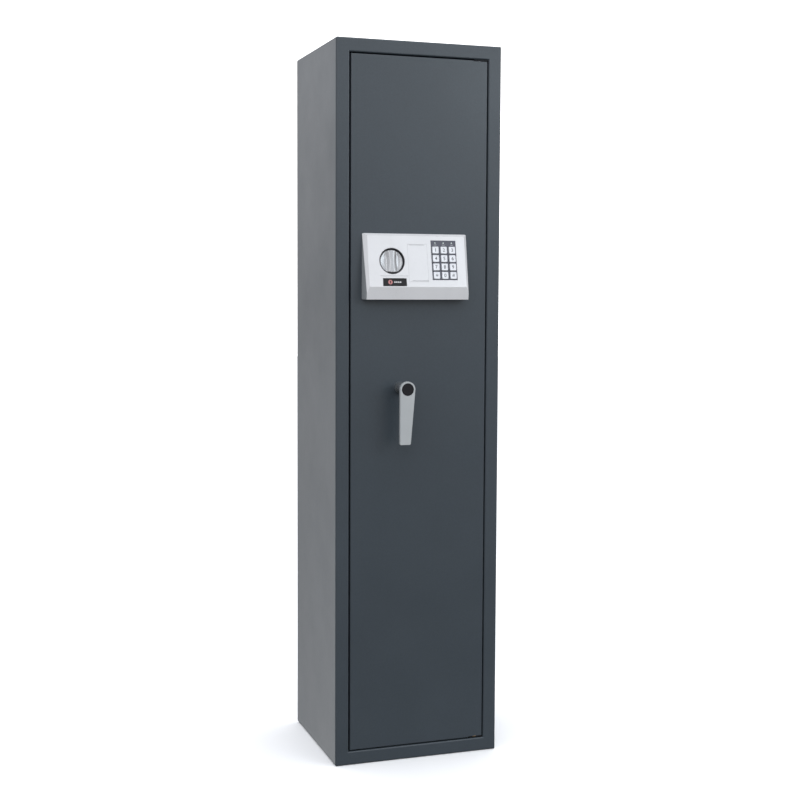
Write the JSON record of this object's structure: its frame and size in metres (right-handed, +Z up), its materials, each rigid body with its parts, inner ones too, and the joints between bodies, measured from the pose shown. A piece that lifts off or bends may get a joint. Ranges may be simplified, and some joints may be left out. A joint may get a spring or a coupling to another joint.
{
  "type": "gun safe",
  "caption": "Tall steel gun cabinet with a flush concealed-hinge door, keypad and knob lock panel, hanging lever handle, multi-way boltwork and a notched barrel rest.",
  "frame": {"origin": "centre of the footprint on the floor, under the cabinet body", "axes": "+Z up along the height, the door faces -Y, +X to the right seen from the front, where the hinges are"},
  "size_m": [0.3, 0.3044, 1.25],
  "materials": {
    "body_paint": "semi-gloss anthracite powder coat, fine texture",
    "frame_steel": "semi-gloss anthracite powder coat",
    "zinc_steel": "bright zinc plated",
    "bare_steel": "plain machined",
    "bolt_chrome": "polished",
    "bronze": "plain",
    "lever_metal": "satin die-cast, silver lacquer",
    "cap_black": "fine matt",
    "silver_plastic": "silver lacquer, satin",
    "dark_plastic": "satin",
    "knob_silver": "satin silver",
    "keypad_grey": "satin",
    "key_white": null,
    "silicone": "matt",
    "board_green": "solder mask",
    "led_clear": "clear lens",
    "solenoid_steel": "zinc plated frame, wound coil",
    "slide_yellow": "yellow zinc",
    "battery_wrap": "printed film, plain",
    "button_red": "satin",
    "foam_black": "closed-cell foam",
    "carpet_grey": "short needle felt",
    "plug_brass": "nickel-free brass"
  },
  "bodies": {
    "cabinet": {"left_side_panel": "body_paint", "right_side_panel": "body_paint", "top_panel": "body_paint", "bottom_panel": "body_paint", "back_panel": "body_paint", "hinge_leaves": "frame_steel", "hinge_pins": "zinc_steel", "hinge_washer": "bronze", "barrel_rest_bracket": "frame_steel", "barrel_rest": "foam_black", "floor_mat": "carpet_grey"},
    "door": {"door_panel": "body_paint", "pivot_blocks": "zinc_steel", "bolt_guide": "frame_steel", "cover_rail": "frame_steel", "boltwork_cover": "frame_steel", "cover_screws": "zinc_steel", "rod_guides": "zinc_steel", "spindle_bush": "bronze", "lock_housing": "silver_plastic", "housing_screws": "zinc_steel", "knob_ring": "dark_plastic", "lock_case": "zinc_steel", "solenoid_body": "solenoid_steel", "control_board": "board_green", "battery": "battery_wrap", "key_cylinder": "bolt_chrome", "keypad_bezel": "keypad_grey", "keypad_mat": "silicone", "keypad_board": "board_green", "status_leds": "led_clear"},
    "lever": {"lever_handle": "lever_metal", "lever_cap": "cap_black", "lever_spindle": "zinc_steel", "cam_disc": "bare_steel"},
    "bolt_carriage": {"bolt_bar": "zinc_steel", "side_bolts": "bolt_chrome", "bolt_nuts": "zinc_steel"},
    "upper_bolt_rod": {"upper_rod": "zinc_steel"},
    "lower_bolt_rod": {"lower_rod": "zinc_steel"},
    "knob_assembly": {"knob": "knob_silver", "knob_spindle": "zinc_steel"},
    "lock_slide_body": {"lock_slide": "slide_yellow"},
    "plunger": {"solenoid_plunger": "bolt_chrome"},
    "reset": {"reset_button": "button_red"},
    "battery_lid": {"battery_cover": "silver_plastic"},
    "badge": {"badge_cover": "dark_plastic"},
    "override_plug": {"key_plug": "plug_brass"},
    "key_1_body": {"key_1": "key_white"},
    "key_2_body": {"key_2": "key_white"},
    "key_3_body": {"key_3": "key_white"},
    "key_4_body": {"key_4": "key_white"},
    "key_5_body": {"key_5": "key_white"},
    "key_6_body": {"key_6": "key_white"},
    "key_7_body": {"key_7": "key_white"},
    "key_8_body": {"key_8": "key_white"},
    "key_9_body": {"key_9": "key_white"},
    "key_star_body": {"key_star": "key_white"},
    "key_0_body": {"key_0": "key_white"},
    "key_hash_body": {"key_hash": "key_white"}
  },
  "joints": [
    {"name": "door_hinge", "type": "hinge", "parent": "cabinet", "child": "door", "pos_m": [0.11, -0.123, 0], "axis": [0, 0, 1], "range_deg": [0, 110]},
    {"name": "lever_turn", "type": "hinge", "parent": "door", "child": "lever", "pos_m": [-0.035, -0.15, 0.658], "axis": [0, -1, 0], "range_deg": [0, 90]},
    {"name": "bolt_throw", "type": "slide", "parent": "door", "child": "bolt_carriage", "axis": [-1, 0, 0], "range_m": [0, 0.018]},
    {"name": "upper_rod_throw", "type": "slide", "parent": "door", "child": "upper_bolt_rod", "axis": [0, 0, 1], "range_m": [0, 0.018]},
    {"name": "lower_rod_throw", "type": "slide", "parent": "door", "child": "lower_bolt_rod", "axis": [0, 0, -1], "range_m": [0, 0.018]},
    {"name": "knob_turn", "type": "hinge", "parent": "door", "child": "knob_assembly", "pos_m": [-0.055, -0.14654, 0.876], "axis": [0, -0.982, 0.1888], "range_deg": [0, 90]},
    {"name": "slide_drop", "type": "slide", "parent": "door", "child": "lock_slide_body", "axis": [0, 0, -1], "range_m": [0, 0.01018]},
    {"name": "plunger_out", "type": "slide", "parent": "door", "child": "plunger", "axis": [-1, 0, 0], "range_m": [0, 0.006]},
    {"name": "reset_press", "type": "slide", "parent": "door", "child": "reset", "axis": [0, -1, 0], "range_m": [0, 0.002], "stiffness_N_per_m": 600},
    {"name": "battery_cover_off", "type": "slide", "parent": "door", "child": "battery_lid", "axis": [0, -0.982, 0.1888], "range_m": [0, 0.04]},
    {"name": "badge_off", "type": "slide", "parent": "door", "child": "badge", "axis": [0, -0.982, 0.1888], "range_m": [0, 0.04]},
    {"name": "override_turn", "type": "hinge", "parent": "door", "child": "override_plug", "pos_m": [-0.052, -0.13, 0.84], "axis": [0, -1, 0], "range_deg": [0, 90]},
    {"name": "key_1_press", "type": "slide", "parent": "door", "child": "key_1_body", "axis": [0, 0.982, -0.1888], "range_m": [0, 0.001], "stiffness_N_per_m": 1200},
    {"name": "key_2_press", "type": "slide", "parent": "door", "child": "key_2_body", "axis": [0, 0.982, -0.1888], "range_m": [0, 0.001], "stiffness_N_per_m": 1200},
    {"name": "key_3_press", "type": "slide", "parent": "door", "child": "key_3_body", "axis": [0, 0.982, -0.1888], "range_m": [0, 0.001], "stiffness_N_per_m": 1200},
    {"name": "key_4_press", "type": "slide", "parent": "door", "child": "key_4_body", "axis": [0, 0.982, -0.1888], "range_m": [0, 0.001], "stiffness_N_per_m": 1200},
    {"name": "key_5_press", "type": "slide", "parent": "door", "child": "key_5_body", "axis": [0, 0.982, -0.1888], "range_m": [0, 0.001], "stiffness_N_per_m": 1200},
    {"name": "key_6_press", "type": "slide", "parent": "door", "child": "key_6_body", "axis": [0, 0.982, -0.1888], "range_m": [0, 0.001], "stiffness_N_per_m": 1200},
    {"name": "key_7_press", "type": "slide", "parent": "door", "child": "key_7_body", "axis": [0, 0.982, -0.1888], "range_m": [0, 0.001], "stiffness_N_per_m": 1200},
    {"name": "key_8_press", "type": "slide", "parent": "door", "child": "key_8_body", "axis": [0, 0.982, -0.1888], "range_m": [0, 0.001], "stiffness_N_per_m": 1200},
    {"name": "key_9_press", "type": "slide", "parent": "door", "child": "key_9_body", "axis": [0, 0.982, -0.1888], "range_m": [0, 0.001], "stiffness_N_per_m": 1200},
    {"name": "key_star_press", "type": "slide", "parent": "door", "child": "key_star_body", "axis": [0, 0.982, -0.1888], "range_m": [0, 0.001], "stiffness_N_per_m": 1200},
    {"name": "key_0_press", "type": "slide", "parent": "door", "child": "key_0_body", "axis": [0, 0.982, -0.1888], "range_m": [0, 0.001], "stiffness_N_per_m": 1200},
    {"name": "key_hash_press", "type": "slide", "parent": "door", "child": "key_hash_body", "axis": [0, 0.982, -0.1888], "range_m": [0, 0.001], "stiffness_N_per_m": 1200}
  ],
  "couplings": [
    {"joint": "bolt_throw", "follows": "lever_turn", "m_per_rad": 0.011459},
    {"joint": "upper_rod_throw", "follows": "lever_turn", "m_per_rad": 0.011459},
    {"joint": "lower_rod_throw", "follows": "lever_turn", "m_per_rad": 0.011459},
    {"joint": "slide_drop", "follows": "knob_turn", "m_per_rad": 0.0064826}
  ]
}
